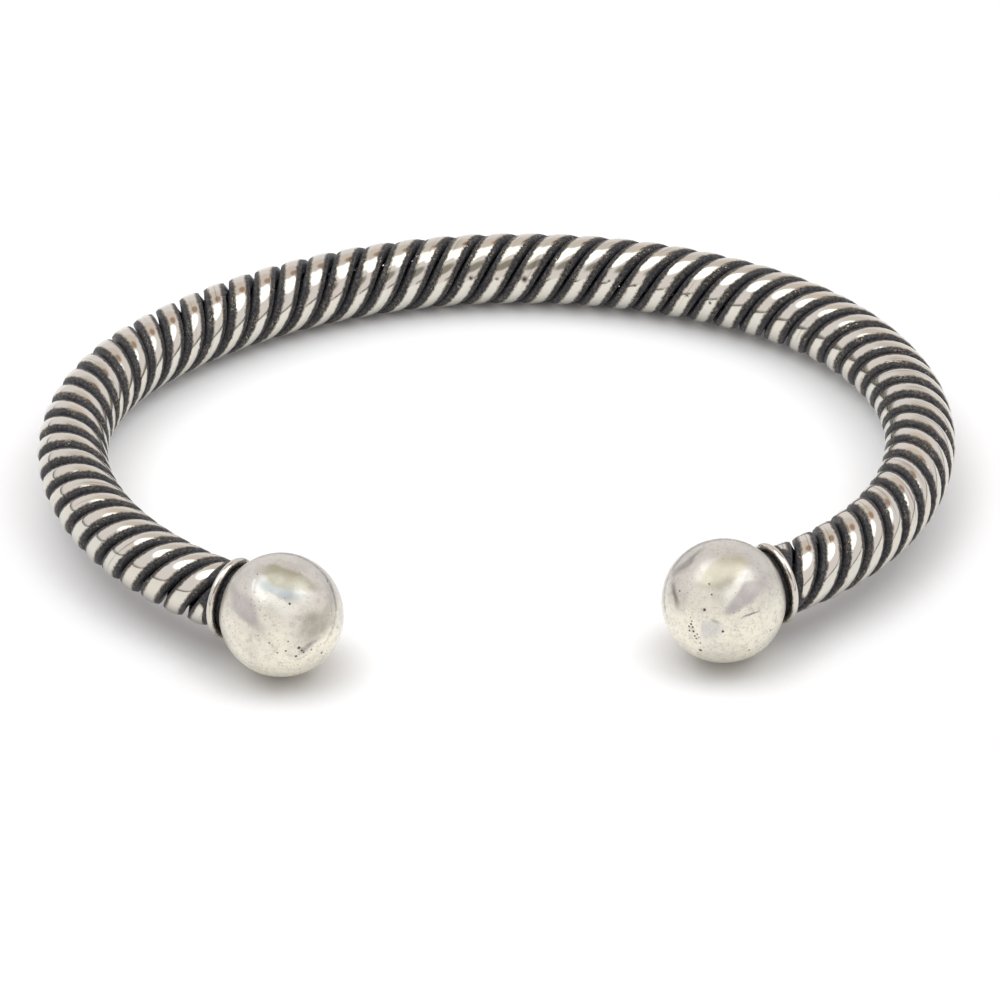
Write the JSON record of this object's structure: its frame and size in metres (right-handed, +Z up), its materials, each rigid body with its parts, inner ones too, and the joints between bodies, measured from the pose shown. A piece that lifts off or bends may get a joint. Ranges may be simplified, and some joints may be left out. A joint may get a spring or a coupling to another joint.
{
  "type": "torque bangle",
  "caption": "Open twisted-wire torque bangle with a polished ball and a thin neck ring on each end, lying on its side.",
  "frame": {"origin": "on the surface that the bangle lies on, under the middle of its outline", "axes": "+Z up, the opening between the balls faces -Y, the back of the wrist is at +Y, and X runs across the wrist"},
  "size_m": [0.0694, 0.0574, 0.0094],
  "materials": {
    "oxidised_core": "silver oxidised black, matte and grainy",
    "oxidised_silver": "silver polished on the crests, oxidised black in the grooves",
    "polished_silver": "hand polished silver with small pits, black in the groove behind the ball"
  },
  "bodies": {
    "root": {"core_rod": "oxidised_core", "strand_1": "oxidised_silver", "strand_2": "oxidised_silver", "strand_3": "oxidised_silver", "strand_4": "oxidised_silver", "ball_end_left": "polished_silver", "ball_end_right": "polished_silver"}
  },
  "joints": []
}
